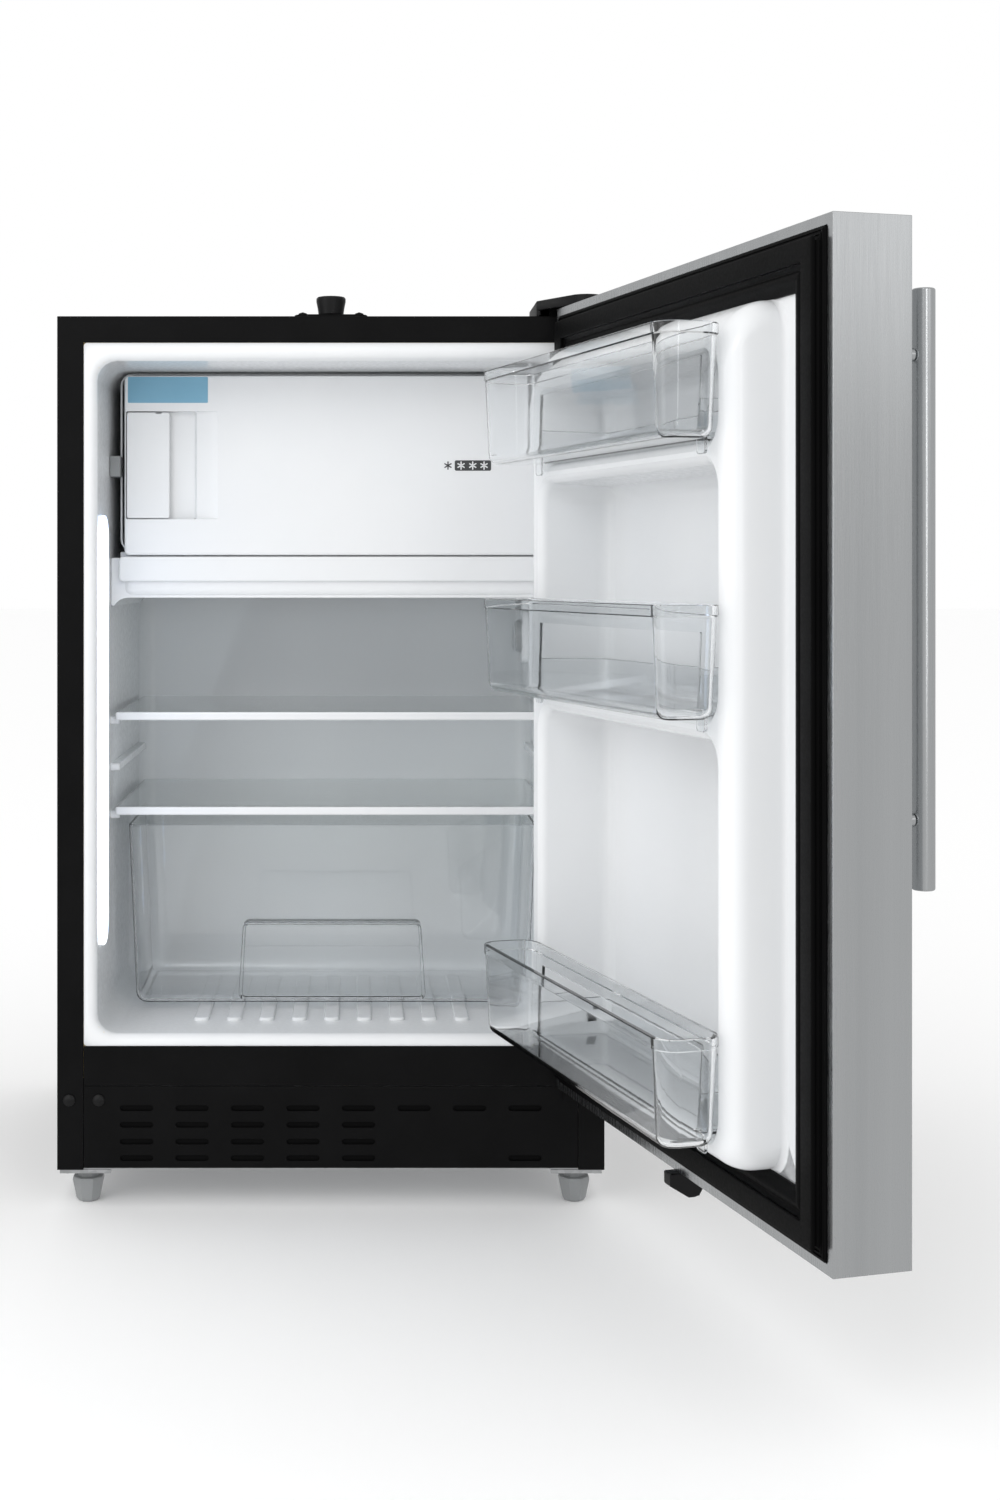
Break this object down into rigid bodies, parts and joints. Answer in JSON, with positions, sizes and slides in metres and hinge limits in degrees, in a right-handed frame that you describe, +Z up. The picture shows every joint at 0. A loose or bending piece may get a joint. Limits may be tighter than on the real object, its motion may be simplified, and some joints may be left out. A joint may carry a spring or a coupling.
{
  "type": "undercounter refrigerator with freezer box",
  "caption": "Undercounter fridge with an inner freezer box, glass shelves, a clear crisper and a hinged stainless door with bins and a bar handle.",
  "frame": {"origin": "bottom centre of the bounding box at rest, door open as modelled, at floor level", "axes": "+Z up, the cabinet's front faces -Y, +X to the right seen from the front, where the door hinges are"},
  "size_m": [0.6753, 0.9366, 0.833],
  "materials": {
    "black_steel": "satin black textured powder coat",
    "black_plastic": "satin black moulded plastic",
    "black_rubber": "matte black soft vinyl",
    "stainless": "vertically brushed stainless",
    "chrome": "polished steel",
    "galvanised": "galvanised sheet",
    "white_plastic": "gloss white",
    "white_metal": "white coated",
    "grey_plastic": "satin grey",
    "clear_plastic": "clear",
    "glass": "clear tempered",
    "lens": "frosted diffuser",
    "board": "white solder mask",
    "foam": "rigid polyurethane foam"
  },
  "bodies": {
    "cabinet": {"cabinet_wrap": "black_steel", "rear_panel": "black_steel", "base_pan": "galvanised", "machine_cover": "galvanised", "lower_front_rail": "black_steel", "toe_grille": "black_steel", "hole_plug_flange": "black_plastic", "hole_plug_grille": "black_plastic", "inner_liner": "white_plastic", "foam_insulation": "foam", "led_lens": "lens", "led_board": "board", "thermostat_housing": "white_plastic", "freezer_box": "white_metal", "drip_tray": "white_plastic", "freezer_latch_catch": "grey_plastic", "freezer_hinge_pin_upper": "chrome", "freezer_hinge_pin_lower": "chrome", "lock_plate": "black_steel", "lock_screw_left": "black_steel", "lock_screw_right": "black_steel", "top_hinge_bracket": "black_steel", "top_hinge_pin": "chrome", "top_hinge_cover": "black_plastic", "lower_hinge_bracket": "black_steel", "compressor": "black_steel", "evaporation_pan": "black_plastic", "fan_motor": "black_plastic", "condenser_coil": "black_steel", "foot_plate_front_left": "galvanised", "foot_plate_front_right": "galvanised", "foot_plate_rear_left": "galvanised", "foot_plate_rear_right": "galvanised"},
    "main_door": {"door_skin": "stainless", "door_foam": "foam", "door_liner": "white_plastic", "door_gasket": "black_rubber", "hinge_bush_upper": "grey_plastic", "hinge_bush_lower": "grey_plastic", "door_lock_block": "black_plastic", "handle_bar": "stainless", "handle_post_upper": "stainless", "handle_post_lower": "stainless"},
    "top_bin": {"door_bin_top": "clear_plastic"},
    "middle_bin": {"door_bin_middle": "clear_plastic"},
    "bottom_bin": {"door_bin_bottom": "clear_plastic"},
    "freezer_door": {"freezer_door": "white_plastic"},
    "freezer_flap": {"freezer_handle_flap": "white_plastic"},
    "upper_shelf": {"upper_shelf_glass": "glass", "upper_shelf_trim": "white_plastic"},
    "lower_shelf": {"lower_shelf_glass": "glass", "lower_shelf_trim": "white_plastic"},
    "crisper": {"crisper_drawer": "clear_plastic"},
    "thermostat_knob": {"thermostat_knob": "grey_plastic"},
    "lock_barrel": {"lock_barrel": "black_plastic"},
    "fan_blade": {"fan_blade": "grey_plastic"},
    "front_left_foot": {"foot_front_left": "grey_plastic"},
    "front_right_foot": {"foot_front_right": "grey_plastic"},
    "rear_left_foot": {"foot_rear_left": "grey_plastic"},
    "rear_right_foot": {"foot_rear_right": "grey_plastic"}
  },
  "joints": [
    {"name": "main_door_hinge", "type": "hinge", "parent": "cabinet", "child": "main_door", "pos_m": [0.1415, -0.00113, 0.45], "axis": [0, 0, 1], "range_deg": [-105.4, 2]},
    {"name": "freezer_door_hinge", "type": "hinge", "parent": "cabinet", "child": "freezer_door", "pos_m": [0.1083, 0.13127, 0.68], "axis": [0, 0, 1], "range_deg": [0, 65]},
    {"name": "freezer_flap_hinge", "type": "hinge", "parent": "freezer_door", "child": "freezer_flap", "pos_m": [-0.2837, 0.12677, 0.683], "axis": [0, 0, -1], "range_deg": [0, 12], "stiffness_Nm_per_rad": 0.3, "springref_deg": -5.73},
    {"name": "upper_shelf_slide", "type": "slide", "parent": "cabinet", "child": "upper_shelf", "axis": [0, -1, 0], "range_m": [0, 0.1]},
    {"name": "lower_shelf_slide", "type": "slide", "parent": "cabinet", "child": "lower_shelf", "axis": [0, -1, 0], "range_m": [0, 0.1]},
    {"name": "crisper_slide", "type": "slide", "parent": "cabinet", "child": "crisper", "axis": [0, -1, 0], "range_m": [0, 0.12]},
    {"name": "top_bin_lift", "type": "slide", "parent": "main_door", "child": "top_bin", "axis": [0, 0, 1], "range_m": [0, 0.025]},
    {"name": "middle_bin_lift", "type": "slide", "parent": "main_door", "child": "middle_bin", "axis": [0, 0, 1], "range_m": [0, 0.025]},
    {"name": "bottom_bin_lift", "type": "slide", "parent": "main_door", "child": "bottom_bin", "axis": [0, 0, 1], "range_m": [0, 0.025]},
    {"name": "thermostat_turn", "type": "hinge", "parent": "cabinet", "child": "thermostat_knob", "pos_m": [0.108, 0.23077, 0.52], "axis": [-1, 0, 0], "range_deg": [0, 270]},
    {"name": "lock_turn", "type": "hinge", "parent": "cabinet", "child": "lock_barrel", "pos_m": [-0.0877, 0.04427, 0.825], "axis": [0, 0, 1], "range_deg": [0, 90]},
    {"name": "fan_spin", "type": "hinge", "parent": "cabinet", "child": "fan_blade", "pos_m": [-0.0277, 0.36227, 0.12], "axis": [0, 1, 0], "continuous": true},
    {"name": "front_left_foot_turn", "type": "hinge", "parent": "cabinet", "child": "front_left_foot", "pos_m": [-0.3122, 0.05327, 0.015], "axis": [0, 0, 1], "continuous": true},
    {"name": "front_right_foot_turn", "type": "hinge", "parent": "cabinet", "child": "front_right_foot", "pos_m": [0.1368, 0.05327, 0.015], "axis": [0, 0, 1], "continuous": true},
    {"name": "rear_left_foot_turn", "type": "hinge", "parent": "cabinet", "child": "rear_left_foot", "pos_m": [-0.3122, 0.44327, 0.015], "axis": [0, 0, 1], "continuous": true},
    {"name": "rear_right_foot_turn", "type": "hinge", "parent": "cabinet", "child": "rear_right_foot", "pos_m": [0.1368, 0.44327, 0.015], "axis": [0, 0, 1], "continuous": true}
  ]
}
